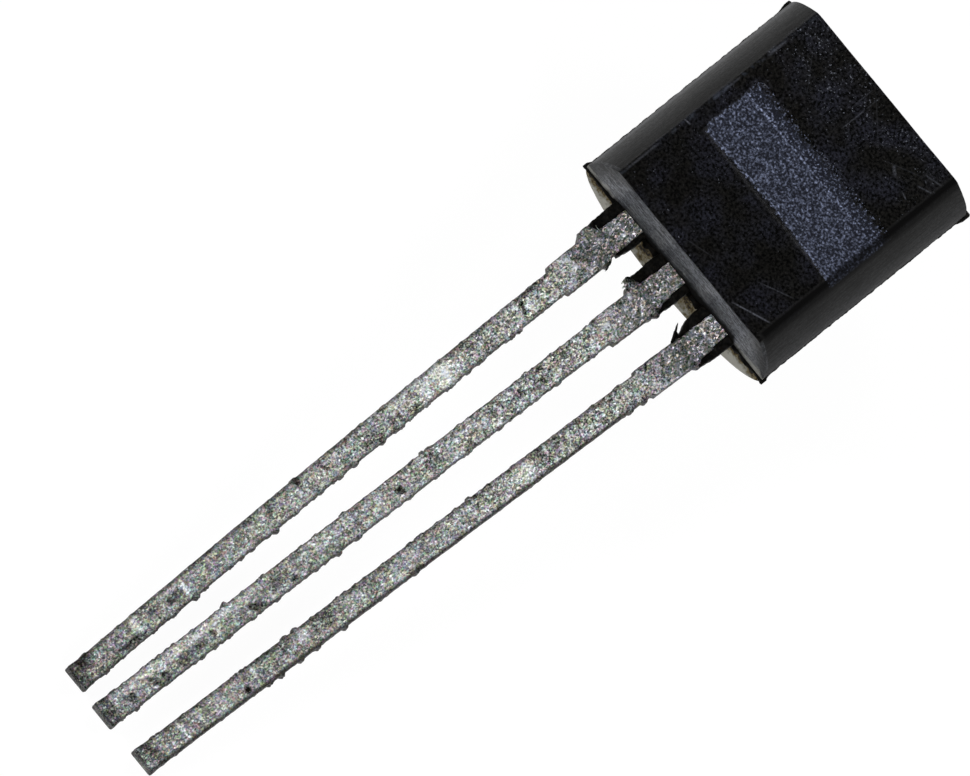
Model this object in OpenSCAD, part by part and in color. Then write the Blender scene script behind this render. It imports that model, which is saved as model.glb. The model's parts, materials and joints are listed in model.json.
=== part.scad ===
// Small-signal transistor in a three-lead D-shaped moulded package.
//
// It lies as a loose one comes to rest: on its round back, with the flat face up
// and the tips of its leads touching the surface.
//
// Every piece is drawn in the package's own axes and then laid down:
//   X  across the leads, as seen when looking at the flat face
//   Y  along the leads, away from their tips; 0 is the underside of the moulding
//   Z  out of the flat face; 0 is the parting line and the middle of the leads

/* [Moulding] */
// Width across the parting line, which is also the diameter of the round back
body_w = 5.0; // [4.5:0.05:5.2]
// Height of the moulding, along the leads
body_h = 4.95; // [4.4:0.01:5.3]
// Distance from the parting line to the flat face
flat_z = 1.53; // [1.2:0.01:1.7]
// Draft of the top in front of the parting line, in degrees
top_draft = 6.5; // [0:0.5:8]
// Draft of the underside in front of the parting line, in degrees
foot_draft = 0.5; // [0:0.5:6]
// Draft of the top and the underside behind the parting line, in degrees
back_draft = 7.5; // [0:0.5:10]

/* [Mould flash] */
// Thickness of the flash left along the parting line
flash_t = 0.05; // [0.03:0.01:0.08]
// How far the flash stands out along the sides
flash_side = 0.02; // [0.01:0.005:0.04]
// How far the flash stands out at the four corners
flash_corner = 0.06; // [0.04:0.005:0.1]
// Height of the flash nub at each corner
flash_nub_h = 0.2; // [0.1:0.05:0.4]

/* [Etched panel] */
// Depth to which the blank panel is etched into the flat face
panel_depth = 0.02; // [0.01:0.005:0.04]
// Distance from the left edge of the flat face to the panel
panel_margin = 0.28; // [0.1:0.02:0.6]
// Distance from the top edge of the flat face to the panel
panel_drop = 1.62; // [1.2:0.02:2]
// Height of the panel
panel_h = 1.42; // [1:0.02:1.8]
// Radius of the panel's corners
panel_r = 0.18; // [0.05:0.01:0.3]

/* [Leads] */
// Spacing between the centres of neighbouring leads
lead_spacing = 1.22; // [1.15:0.01:1.35]
// How far the whole lead frame sits to the right in the moulding
frame_offset = 0.03; // [0:0.01:0.1]
// Thickness of the strip that the leads are stamped from
lead_t = 0.38; // [0.33:0.01:0.45]
// Length of a lead from the moulding to its tip
lead_len = 13.55; // [12.7:0.05:14.5]
// Width of a lead along most of its length
lead_w = 0.52; // [0.45:0.01:0.56]
// Width of a lead between the moulding and the cut dam bar
neck_w = 0.54; // [0.48:0.01:0.6]
// Width of a lead just past the cut dam bar
shoulder_w = 0.62; // [0.57:0.01:0.66]
// Length of that wider stretch
shoulder_len = 0.85; // [0.4:0.05:1.2]
// Length over which it narrows again
taper_len = 0.1; // [0.05:0.05:0.8]
// How far the cutter has spread each side of a tip
tip_spread = 0.02; // [0.01:0.005:0.04]
// Length of the spread end of a tip
tip_len = 0.12; // [0.05:0.01:0.3]
// Lean of the emitter lead towards the right, in degrees
emitter_lean = 0.6; // [-2:0.1:2]
// Lean of the collector lead towards the right, in degrees
collector_lean = -1.2; // [-2:0.1:2]
// Lean of the base lead towards the right, in degrees
base_lean = -1.8; // [-2:0.1:2]

/* [Cut dam bar] */
// Distance from the moulding to the stubs of the dam bar
dambar_gap = 0.62; // [0.4:0.02:0.9]
// Height of the dam bar
dambar_h = 0.28; // [0.2:0.02:0.4]
// How far a stub stands out to the left of its lead
stub_left = 0.2; // [0.1:0.01:0.25]
// How far a stub stands out to the right of its lead
stub_right = 0.12; // [0.05:0.01:0.2]
// Width of the resin left in the corner to the left of each lead
resin_left = 0.18; // [0.1:0.01:0.22]
// Width of the resin left in the corner to the right of each lead
resin_right = 0.09; // [0.05:0.01:0.18]
// Thickness of that resin, which is thinner than the leads
resin_t = 0.3; // [0.2:0.01:0.32]

/* [Lead frame inside the moulding] */
// Width of the flag that carries the chip
flag_w = 1.5; // [1.2:0.05:1.6]
// Height of the flag
flag_h = 1.5; // [1.2:0.05:1.6]
// Distance from the underside of the moulding to the flag
flag_y = 1.7; // [1.4:0.05:2]
// Gap between the flag and the bond post on either side of it
post_gap = 0.35; // [0.2:0.05:0.5]
// Width of a bond post
post_w = 0.6; // [0.45:0.05:0.8]
// Height of a bond post
post_h = 0.9; // [0.7:0.05:1.2]
// Radius of the notches that lock each lead in the resin
notch_r = 0.08; // [0.05:0.01:0.1]
// Distance from the underside of the moulding to the notches
notch_y = 0.5; // [0.3:0.05:0.8]

/* [Chip and bond wires] */
// Side of the square chip
die_side = 0.46; // [0.3:0.02:0.6]
// Thickness of the chip
die_t = 0.2; // [0.15:0.01:0.25]
// Thickness of the adhesive under the chip
attach_t = 0.02; // [0.01:0.005:0.04]
// How far the adhesive squeezes out round the chip
attach_rim = 0.03; // [0.01:0.01:0.06]
// Diameter of a bond wire
wire_d = 0.03; // [0.025:0.005:0.05]
// Distance from the middle of the chip to each bond pad
pad_x = 0.12; // [0.08:0.01:0.14]
// Diameter of the flattened ball or foot at either end of a wire
bond_d = 0.08; // [0.06:0.01:0.1]
// Height of that ball or foot
bond_h = 0.02; // [0.01:0.005:0.03]

/* [Hidden] */

$fn = 96;
// How far a shape that cuts or joins another runs past their common face
overrun = 0.5;

resin_colour = "#232428";
lead_colour = "#a5a59f";
die_colour = "#5a6068";
attach_colour = "#c9c9c4";
wire_colour = "#d9ad45";

// The leads from left to right, as seen when looking at the flat face
EMITTER = -1;
COLLECTOR = 0;
BASE = 1;

back_r = body_w / 2;
flat_half_w = sqrt(back_r * back_r - flat_z * flat_z);
top_inset = flat_z * tan(top_draft);
foot_inset = flat_z * tan(foot_draft);
back_inset = back_r * tan(back_draft);

dambar_end = dambar_gap + dambar_h;
shoulder_end = dambar_end + shoulder_len;
taper_end = shoulder_end + taper_len;

post_x = flag_w / 2 + post_gap + post_w / 2;
post_y = flag_y;
lead_top = lead_t / 2;
die_y = flag_y + flag_h / 2;
die_bottom = lead_top + attach_t;
die_top = die_bottom + die_t;

// The round back touches the surface at the middle of its lower edge, and the leads
// touch it with the lower edge of their tips
rest_angle = atan((back_r - lead_top) / (lead_len + back_inset));
rest_lift = lead_len * sin(rest_angle) + lead_top * cos(rest_angle);
head_reach = (body_h - back_inset) * cos(rest_angle) + back_r * sin(rest_angle);
tip_reach = lead_len * cos(rest_angle) + lead_top * sin(rest_angle);
rest_shift = (tip_reach - head_reach) / 2;

// Lays a piece down from the package's own axes to the resting pose, with the
// origin on the surface, under the middle of the whole part
module laid_down() {
    translate([0, rest_shift, rest_lift])
        rotate([rest_angle, 0, 0])
            children();
}

// Places a piece of the lead frame, or what is mounted on it, in the moulding
module in_frame() {
    translate([frame_offset, 0, 0])
        children();
}

// A flat piece of the lead frame, centred on the parting line
module stamped(thickness = lead_t) {
    linear_extrude(height = thickness, center = true)
        children();
}

// ---- lead frame ----

function lead_x(lead) = lead * lead_spacing;

function lead_lean(lead) =
    lead == EMITTER ? emitter_lean :
    lead == COLLECTOR ? collector_lean :
    base_lean;

// Shifts a point that lies past the dam bar sideways, by the lean of its lead
function leaned(point, lean) =
    [point.x + max(0, -point.y - dambar_end) * tan(lean), point.y];

// One side of a lead from the moulding down to the tip, at distances from its middle
function lead_edge(stub) = [
    [neck_w / 2, 0],
    [neck_w / 2, -dambar_gap],
    [neck_w / 2 + stub, -dambar_gap],
    [neck_w / 2 + stub, -dambar_gap - dambar_h / 2],
    [shoulder_w / 2, -dambar_end],
    [shoulder_w / 2, -shoulder_end],
    [lead_w / 2, -taper_end],
    [lead_w / 2, tip_len - lead_len],
    [lead_w / 2 + tip_spread, -lead_len],
];

// Outline of the part of a lead that stands out of the moulding
module lead_outside(lead) {
    left = [for (p = lead_edge(stub_left)) [-p.x, p.y]];
    right = lead_edge(stub_right);
    outline = concat(left, [for (i = [len(right) - 1 : -1 : 0]) right[i]]);
    translate([lead_x(lead), 0])
        polygon([for (p = outline) leaned(p, lead_lean(lead))]);
}

// A pair of round notches, one on each side of a lead
module lock_notches(lead) {
    for (side = [-1, 1])
        translate([lead_x(lead) + side * neck_w / 2, notch_y])
            circle(notch_r);
}

// The shank that runs from the moulding's underside up to a flag or post
module shank(lead, top_x, top_w) {
    polygon([
        [lead_x(lead) - neck_w / 2, 0],
        [lead_x(lead) + neck_w / 2, 0],
        [lead_x(lead) + neck_w / 2, flag_y / 2],
        [top_x + top_w / 2, flag_y],
        [top_x - top_w / 2, flag_y],
        [lead_x(lead) - neck_w / 2, flag_y / 2],
    ]);
}

// Emitter or base lead: a shank that ends in a bond post
module post_lead(lead) {
    stamped() {
        lead_outside(lead);
        difference() {
            union() {
                shank(lead, lead * post_x, post_w);
                translate([lead * post_x - post_w / 2, post_y])
                    square([post_w, post_h]);
            }
            lock_notches(lead);
        }
    }
}

// Collector lead: a shank that ends in the flag for the chip
module flag_lead() {
    stamped() {
        lead_outside(COLLECTOR);
        difference() {
            union() {
                shank(COLLECTOR, 0, flag_w);
                translate([-flag_w / 2, flag_y])
                    square([flag_w, flag_h]);
            }
            lock_notches(COLLECTOR);
        }
    }
}

// ---- chip ----

// A square block on the middle of the flag
module chip_block(side, bottom, height) {
    translate([-side / 2, die_y - side / 2, bottom])
        cube([side, side, height]);
}

module chip() {
    chip_block(die_side, die_bottom, die_t);
}

module chip_adhesive() {
    chip_block(die_side + 2 * attach_rim, lead_top, attach_t);
}

// Wire that leaves the chip straight up, arches over and lands on a bond post
module bond_wire(lead) {
    pad = [lead * pad_x, die_y];
    landing = [lead * post_x, post_y + post_h / 2];
    span = norm(landing - pad);
    turn = atan2(landing.y - pad.y, landing.x - pad.x);
    drop = die_top - lead_top;
    translate([pad.x, pad.y, die_top])
        rotate([0, 0, turn]) {
            cylinder(h = bond_h, d = bond_d);
            translate([span / 2, 0, bond_h])
                rotate([90, 0, 0])
                    rotate_extrude(angle = 180)
                        translate([span / 2, 0])
                            circle(d = wire_d);
            translate([span, 0, -drop])
                cylinder(h = drop + bond_h, d = wire_d);
            translate([span, 0, -drop])
                cylinder(h = bond_h, d = bond_d);
        }
}

// ---- moulding ----

// The D-shaped block: a cylinder cut off by the flat face and by the drafted ends
module drafted_block() {
    ends = [
        [0, 0],
        [foot_inset, flat_z],
        [body_h - top_inset, flat_z],
        [body_h, 0],
        [body_h - back_inset, -back_r],
        [back_inset, -back_r],
    ];
    intersection() {
        translate([0, -overrun, 0])
            rotate([-90, 0, 0])
                cylinder(h = body_h + 2 * overrun, r = back_r);
        rotate([90, 0, 90])
            linear_extrude(height = body_w + 2 * overrun, center = true)
                polygon(ends);
    }
}

// Thin flash squeezed out between the mould halves, widest at the corners
module mould_flash() {
    side = back_r + flash_side;
    corner = back_r + flash_corner;
    edge = [
        [corner, 0],
        [corner, flash_nub_h / 2],
        [side, flash_nub_h],
        [side, body_h - flash_nub_h],
        [corner, body_h - flash_nub_h / 2],
        [corner, body_h],
    ];
    stamped(flash_t)
        for (turned = [0, 1])
            mirror([turned, 0])
                polygon(concat([[0, 0]], edge, [[0, body_h]]));
}

// Resin that filled the space up to the dam bar and stayed beside each lead
module resin_corner(lead) {
    width = resin_left + neck_w + resin_right;
    translate([lead_x(lead) - neck_w / 2 - resin_left, -dambar_gap])
        square([width, dambar_gap + overrun]);
}

// The blank etched panel, which runs off the right edge of the flat face
module panel_pocket() {
    left = panel_margin - flat_half_w;
    top = body_h - top_inset - panel_drop;
    right = flat_half_w + overrun;
    translate([0, 0, flat_z - panel_depth])
        linear_extrude(height = panel_depth + overrun) {
            translate([left + panel_r, top - panel_h])
                square([right - left - panel_r, panel_h]);
            translate([left, top - panel_h + panel_r])
                square([panel_r, panel_h - 2 * panel_r]);
            for (y = [top - panel_r, top - panel_h + panel_r])
                translate([left + panel_r, y])
                    circle(panel_r);
        }
}

// What the resin was moulded round
module embedded_pieces() {
    in_frame() {
        post_lead(EMITTER);
        flag_lead();
        post_lead(BASE);
        chip_adhesive();
        chip();
        bond_wire(EMITTER);
        bond_wire(BASE);
    }
}

module moulding() {
    difference() {
        union() {
            drafted_block();
            mould_flash();
            in_frame()
                stamped(resin_t)
                    for (lead = [EMITTER, COLLECTOR, BASE])
                        resin_corner(lead);
        }
        panel_pocket();
        embedded_pieces();
    }
}

// ---- the pieces as they lie ----

module body() {
    color(resin_colour)
        laid_down()
            moulding();
}

module emitter_lead() {
    color(lead_colour)
        laid_down()
            in_frame()
                post_lead(EMITTER);
}

module collector_lead() {
    color(lead_colour)
        laid_down()
            in_frame()
                flag_lead();
}

module base_lead() {
    color(lead_colour)
        laid_down()
            in_frame()
                post_lead(BASE);
}

module die() {
    color(die_colour)
        laid_down()
            in_frame()
                chip();
}

module die_attach() {
    color(attach_colour)
        laid_down()
            in_frame()
                chip_adhesive();
}

module emitter_wire() {
    color(wire_colour)
        laid_down()
            in_frame()
                bond_wire(EMITTER);
}

module base_wire() {
    color(wire_colour)
        laid_down()
            in_frame()
                bond_wire(BASE);
}

body();
emitter_lead();
collector_lead();
base_lead();
die();
die_attach();
emitter_wire();
base_wire();
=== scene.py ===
import json
import math
import random
from functools import partial

import bmesh
import bpy
from mathutils import Matrix, Vector, noise


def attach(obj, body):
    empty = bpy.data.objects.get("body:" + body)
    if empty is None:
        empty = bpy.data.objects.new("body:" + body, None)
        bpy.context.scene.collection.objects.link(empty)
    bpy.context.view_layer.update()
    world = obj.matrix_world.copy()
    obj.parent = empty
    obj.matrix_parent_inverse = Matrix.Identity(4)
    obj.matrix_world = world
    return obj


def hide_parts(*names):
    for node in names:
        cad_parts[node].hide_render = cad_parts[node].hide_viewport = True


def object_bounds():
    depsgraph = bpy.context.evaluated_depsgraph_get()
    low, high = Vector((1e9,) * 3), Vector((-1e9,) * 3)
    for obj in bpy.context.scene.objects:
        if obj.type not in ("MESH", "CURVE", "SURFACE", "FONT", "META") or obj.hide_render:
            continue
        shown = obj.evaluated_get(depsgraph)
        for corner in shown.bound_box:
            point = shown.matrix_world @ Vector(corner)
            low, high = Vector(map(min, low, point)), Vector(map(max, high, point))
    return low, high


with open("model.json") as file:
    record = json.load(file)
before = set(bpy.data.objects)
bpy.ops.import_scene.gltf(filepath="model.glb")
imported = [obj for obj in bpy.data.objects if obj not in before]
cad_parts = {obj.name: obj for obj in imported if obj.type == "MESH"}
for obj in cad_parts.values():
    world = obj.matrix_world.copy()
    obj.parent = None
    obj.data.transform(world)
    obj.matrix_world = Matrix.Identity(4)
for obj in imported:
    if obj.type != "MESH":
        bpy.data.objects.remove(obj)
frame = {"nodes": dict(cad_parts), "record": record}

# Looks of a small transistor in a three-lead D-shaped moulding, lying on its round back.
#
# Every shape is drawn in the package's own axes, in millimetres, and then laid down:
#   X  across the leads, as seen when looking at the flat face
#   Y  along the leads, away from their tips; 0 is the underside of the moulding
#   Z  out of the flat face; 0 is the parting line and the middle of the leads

cad_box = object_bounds()
MM = 0.001

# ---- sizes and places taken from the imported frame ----

leads_mount = next(m for m in frame["record"]["mounts"] if m["name"] == "leads")
seat = Vector(leads_mount["pos_m"])
away = Vector(leads_mount["axis"])
REST_LEAN = math.atan2(-away.z, -away.y)
FRAME_OFFSET = seat.x / MM

TURNED = Matrix.Rotation(REST_LEAN, 3, "X")
LAID = Matrix.Translation((0, seat.y, seat.z)) @ TURNED.to_4x4() @ Matrix.Scale(MM, 4)
STOOD = LAID.inverted()


def extent(name):
    """Lowest and highest corner of a CAD node in the package's own axes."""
    points = [STOOD @ vert.co for vert in frame["nodes"][name].data.vertices]
    return Vector(map(min, zip(*points))), Vector(map(max, zip(*points)))


body_lo, body_hi = extent("body")
lead_lo, lead_hi = extent("emitter_lead")
BACK_R = -body_lo.z
FLAT_Z = body_hi.z
BODY_H = body_hi.y
LEAD_LEN = -lead_lo.y
LEAD_TOP = lead_hi.z

# ---- driving dimensions, as in the part's source, in millimetres and degrees ----

TOP_DRAFT = 6.5
FOOT_DRAFT = -1.2
BACK_DRAFT = 7.5
FOOT_BACK_DRAFT = 8.1
FLAT_EDGE_R = 0.1
END_EDGE_R = 0.012
CAVITY_WAVE = 0.004
CAVITY_PITS = 0.0015

PANEL_LEFT = -1.655
PANEL_RIGHT = 2.3
PANEL_TOP = 3.08
PANEL_FOOT = 1.69
PANEL_R = 0.18
PANEL_DEPTH = 0.02

LEAD_SPACING = 1.22
LEAD_W = 0.52
NECK_W = 0.54
DAMBAR_END = 0.9
TIP_SPREAD = 0.02
TIP_LEN = 0.12

# ---- helpers for shapes ----


def smooth(value, low, high):
    """0 below low, 1 above high and a soft step between them."""
    t = min(1, max(0, (value - low) / (high - low)))
    return t * t * (3 - 2 * t)


def rough(x, y, z, size):
    """Smooth noise between -1 and 1, with lumps of about the given size."""
    return noise.noise(Vector((x, y, z)) / size)


def arc(centre, radius, start, end, count):
    """Points on an arc between two angles in degrees; the next stretch has the last."""
    points = []
    for i in range(count):
        angle = math.radians(start + (end - start) * i / count)
        points.append(centre + radius * Vector((math.cos(angle), math.sin(angle))))
    return points


def line(start, end, count):
    """Points on a straight line; the next stretch has the last."""
    return [start.lerp(end, i / count) for i in range(count)]


def rounded_box(half_w, half_h, radius, spacing):
    """Outline of a rectangle with rounded corners, anticlockwise from the right."""
    outline = []
    corners = [(1, 1), (-1, 1), (-1, -1), (1, -1)]
    for i, (sx, sy) in enumerate(corners):
        centre = Vector((sx * (half_w - radius), sy * (half_h - radius)))
        start = 90 * i
        edge_from = arc(centre, radius, start, start, 1)[0]
        if outline:
            before = outline[-1]
            outline += line(before, edge_from, max(1, round((edge_from - before).length / spacing)))[1:]
        bend = max(2, round(radius * math.pi / 2 / spacing))
        outline += arc(centre, radius, start, start + 90 * (1 + 1 / bend), bend + 1)
    closing = line(outline[-1], outline[0], max(1, round((outline[0] - outline[-1]).length / spacing)))
    return outline + closing[1:]


def loft(mesh, around, along, place, closed=False):
    """Pulls a ring out step by step; place(turn, step) says where each point of it lies.
    An open loft ends in a pole at either end, a closed one runs back into its start."""
    ring = bmesh.ops.create_circle(mesh, segments=around, radius=1)["verts"]
    first = ring
    for step in range(along):
        for turn, vert in enumerate(ring):
            vert.co = place(turn, step)
        if step == along - 1:
            break
        edges = [mesh.edges.get((ring[i - 1], ring[i])) for i in range(around)]
        grown = bmesh.ops.extrude_edge_only(mesh, edges=edges)["geom"]
        fresh = {item for item in grown if isinstance(item, bmesh.types.BMVert)}
        ring = [next(e.other_vert(v) for e in v.link_edges if e.other_vert(v) in fresh) for v in ring]
    if closed:
        edges = [mesh.edges.get((end[i - 1], end[i])) for end in (first, ring) for i in range(around)]
        bmesh.ops.bridge_loops(mesh, edges=edges)
    else:
        for end in (first, ring):
            middle = sum((v.co for v in end), Vector()) / around
            bmesh.ops.pointmerge(mesh, verts=end, merge_co=middle)


def finish_piece(name, mesh, material, stands_for=()):
    """Turns a shaped mesh into a piece, laid down with the part and kept inside its box."""
    bmesh.ops.recalc_face_normals(mesh, faces=mesh.faces)
    mesh.transform(LAID)
    for vert in mesh.verts:
        vert.co = [min(max(c, lo), hi) for c, lo, hi in zip(vert.co, *cad_box)]
    for face in mesh.faces:
        face.smooth = True
    data = bpy.data.meshes.new(name)
    mesh.to_mesh(data)
    mesh.free()
    data.materials.append(material)
    made = bpy.data.objects.new(name, data)
    bpy.context.scene.collection.objects.link(made)
    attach(made, "root")
    if stands_for:
        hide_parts(*stands_for)
    return made


# ---- helpers for materials ----


def paint(code):
    """Linear colour of an sRGB hex value."""
    channels = [int(code[i:i + 2], 16) / 255 for i in (1, 3, 5)]
    return [c / 12.92 if c <= 0.04045 else ((c + 0.055) / 1.055) ** 2.4 for c in channels] + [1]


def feed(node, inputs):
    """Gives a node's inputs their values or colours, or the links that carry them."""
    for key, value in inputs.items():
        if isinstance(value, str):
            value = paint(value)
        if isinstance(value, bpy.types.Node):
            value = value.outputs[0]
        if isinstance(value, bpy.types.NodeSocket):
            node.id_data.links.new(value, node.inputs[key])
        else:
            node.inputs[key].default_value = value


def add_node(tree, kind, *inputs, **settings):
    """Adds a node of a kind, which may name its operation too, with its settings. Its inputs
    come in the order of its sockets, or as one dict by the sockets' names or numbers. A Map
    Range so has its value, where that runs from and to, and what this becomes."""
    kind, _, operation = kind.partition(" ")
    made = tree.nodes.new("ShaderNode" + kind)
    if operation:
        made.operation = operation
    for key, value in settings.items():
        setattr(made, key, value)
    by_socket = inputs and isinstance(inputs[0], dict)
    feed(made, inputs[0] if by_socket else dict(enumerate(inputs)))
    return made


def new_material(name):
    """A material; returns it, its surface shader and what adds a node beside that."""
    material = bpy.data.materials.new(name)
    material.use_nodes = True
    tree = material.node_tree
    return material, tree.nodes["Principled BSDF"], partial(add_node, tree)


def package_axes(add):
    """Coordinates of a point in the package's own axes, in millimetres."""
    place = add("TexCoord")
    origin = STOOD @ Vector()
    settings = {0: place.outputs["Object"], 1: origin, 2: (-REST_LEAN, 0, 0), 3: (1 / MM,) * 3}
    return add("Mapping", settings, vector_type="POINT")


# ---- moulding compound ----

RESIN_IOR = 1.5

# Noises in the compound: the size of their lumps in millimetres, their detail and roughness.
# The filler's own grains are 0.02 to 0.04 mm across, and are drawn at the upper end to show.
COMPOUND_NOISES = {
    "grain": (0.04, 2.0, 0.5),
    "sparks": (0.042, 1.0, 0.5),
    "fuzz": (0.044, 3.0, 0.6),
    "grit": (0.055, 3.0, 0.65),
    "wander": (0.3, 5.0, 0.7),
    "clumps": (0.7, 4.0, 0.5),
}
# Streaks: how long they are across the leads, along them and out of the flat face
WALL_DRAG = (0.05, 0.5, 0.05)
FOOT_DRAG = (0.3, 0.06, 0.06)
BLOT_RUNS = (0.16, 0.16, 0.9)

# Marks scratched into the flat face: middle x and y, length, width, turn and strength
SCRATCHES = [
    (-0.27, 4.4, 0.5, 0.035, 91, 0.16),
    (-0.08, 4.5, 0.4, 0.035, 90, 0.14),
    (-0.08, 4.0, 0.6, 0.035, 90, 0.24),
    (1.69, 4.44, 0.43, 0.05, 17, 0.2),
    (1.74, 4.21, 0.37, 0.045, 24, 0.28),
    (1.57, 3.83, 0.2, 0.04, -14, 0.3),
    (1.11, 3.99, 0.22, 0.09, -35, 0.3),
    (-1.93, 1.56, 0.17, 0.045, 8, 0.5),
    (1.494, 0.206, 0.87, 0.045, 23, 0.5),
    (1.452, 0.83, 0.79, 0.035, 27, 0.2),
    (1.2, 4.15, 0.9, 0.04, 28, 0.08),
    (0.2, 4.35, 1.1, 0.03, -38, 0.08),
    (-0.02, 0.22, 0.75, 0.03, 18, 0.1),
    (-1.2, 3.9, 0.9, 0.03, -48, 0.1),
    (-1.95, 3.75, 0.5, 0.09, 90, 0.3),
    (-1.96, 2.7, 0.4, 0.07, 90, 0.2),
    (-1.95, 0.5, 0.9, 0.07, 90, 0.22),
]
SCRATCH_DEPTH = 0.2
# The edges of the flat face: a black line of painted shade on the right, a worn one on the left
RIGHT_SHADE_LINE = (1.84, 1.91, 1.96, 2.12)
WORN_EDGE_X = -1.965
# The seam between two passes of the laser, and how far the middle of the panel's foot is
# bowed up
SEAM_Y = 2.786
PANEL_BOW = 0.085
# The painted highlight line along the left wall, at a distance in front of the parting line
HIGHLIGHT_LINE_Z = 0.5
# The edge of the painted shade along the parting line: how high it climbs at a place across
PARTING_SHADE_EDGE = [
    (-2.4, 0), (-2.15, 0.1), (-2.05, 0.02), (-1.9, 0.16), (-1.78, 0.04), (-1.72, 0.24),
    (1.58, 0.5), (1.68, 0.2), (1.9, 0.12), (2.05, 0.02), (2.3, 0),
]
# The tones painted behind the leads, from painted shade at the parting line to a painted rim light at the
# back's rim
BACK_ZONE_TONES = [(0, "#060502"), (0.14, "#3d3013"), (0.36, "#74684a"), (0.6, "#8d8b80"), (1, "#bcbab1")]


def drawn_noise(add, point, sizes, roughness):
    """Noise with its lumps drawn out to a size in millimetres along each axis."""
    drawn = add("Mapping", {0: point, 3: [1 / size for size in sizes]})
    return add("TexNoise", {"Vector": drawn, "Scale": 1.0, "Detail": 4.0, "Roughness": roughness})


def stripe(add, value, place, core, rim, strength):
    """A stripe that is full where a value is within the core of its place, and ends at the rim."""
    off = add("Math SUBTRACT", value, place)
    off = add("Math ABSOLUTE", off)
    return add("MapRange", off, core, rim, strength, 0)


def fill_ramp(ramp, tones):
    """Gives a colour ramp its tones, each with its place, from 0 to 1."""
    stops = ramp.color_ramp.elements
    for stop, (place, code) in zip(stops, (tones[0], tones[-1])):
        stop.position, stop.color = place, paint(code)
    for place, code in tones[1:-1]:
        stops.new(place).color = paint(code)


def flat_tone(add, y, grit, clumps):
    """The flat face: near black, mottled by its grit, and duller towards its foot."""
    mottle = add("MapRange", grit, 0.4, 0.68, 0, 1)
    patchy = add("MapRange", clumps, 0.35, 0.65, 0.5, 1)
    duller = add("MapRange", y, 1.4, 3.4, 0.82, 1)
    for share in (patchy, duller):
        mottle = add("Math MULTIPLY", mottle, share)
    cast = add("MapRange", clumps, 0.4, 0.6, 0, 1)
    light = add("MixRGB", cast, "#292826", "#2c2d36")
    return add("MixRGB", mottle, "#010101", light)


def wall_tone(add, x, z, dragged):
    """The walls: streaked by the draw, with painted shade that turns them near black towards the flat
    face, and a painted highlight line on the left.
    """
    wall = add("MixRGB", dragged, "#0c0d0e", "#1d1e21")
    # Painted shade: near black towards the flat face
    lower = add("MapRange", z, 1.4, 0.2, 0, 1)
    wall = add("MixRGB", lower, "#030303", wall)
    # A painted highlight: a paler line along the outermost part of the left wall
    highlight_line = stripe(add, z, HIGHLIGHT_LINE_Z, 0.03, 0.16, 0.4)
    outermost = add("MapRange", x, -2.41, -2.36, 1, 0)
    highlight_line = add("Math MULTIPLY", highlight_line, outermost)
    return add("MixRGB", highlight_line, wall, "#5a5c60")


def foot_tone(add, x, z, aside, dragged, streaks, wander):
    """The underside: paler than the walls, partly from its streaks and partly as painted light, with
    painted shade between the leads and near its rim and a painted highlight on a crest at either end.
    """
    # Painted shade between the leads, darkest towards the parting line
    inner = add("MapRange", aside, 1.3, 1.7, 1, 0)
    deep = add("MapRange", z, 1.3, 0.4, 0, 0.6)
    deep = add("Math MULTIPLY", inner, deep)
    section = add("CombineXYZ", {0: x, 2: z})
    radius = add("VectorMath LENGTH", section).outputs["Value"]
    radius = add("Math MULTIPLY_ADD", streaks, 0.5, radius)
    # Painted shade near the underside's rim
    rim_shade = add("MapRange", radius, 2.3, 2.62, 0, 0.85)
    outer = add("Math MULTIPLY_ADD", wander, 0.4, aside)
    outer = add("MapRange", outer, 1.8, 1.95, 0, 0.85)
    # A painted highlight on a crest towards either end
    ridge_highlight = add("Math MULTIPLY_ADD", wander, 0.9, z)
    ridge_highlight = add("MapRange", ridge_highlight, 0.72, 0.55, 0, 1)
    ridge_highlight = add("Math MULTIPLY", ridge_highlight, outer)
    # The base tones are partly painted light: paler than the walls, so the underside looks lit
    foot = add("MixRGB", dragged, "#202225", "#868990")
    for cover, tone in ((deep, "#1d1f22"), (rim_shade, "#0e0f10"), (ridge_highlight, "#94948e")):
        foot = add("MixRGB", cover, foot, tone)
    return foot


def glints(add, x, y, sparks, clumps):
    """The few grains that catch the light: more of them near the top left, and in clumps."""
    upper = add("MapRange", y, 2.6, 4.4, -0.13, -0.05)
    leftward = add("MapRange", x, -1.6, 1.2, 0.03, -0.02)
    upper = add("Math ADD", upper, leftward)
    density = add("Math MULTIPLY_ADD", clumps, 0.2, upper)
    bright_spot = add("Math ADD", sparks, density)
    return add("MapRange", bright_spot, 0.715, 0.95, 0, 1)


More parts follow.
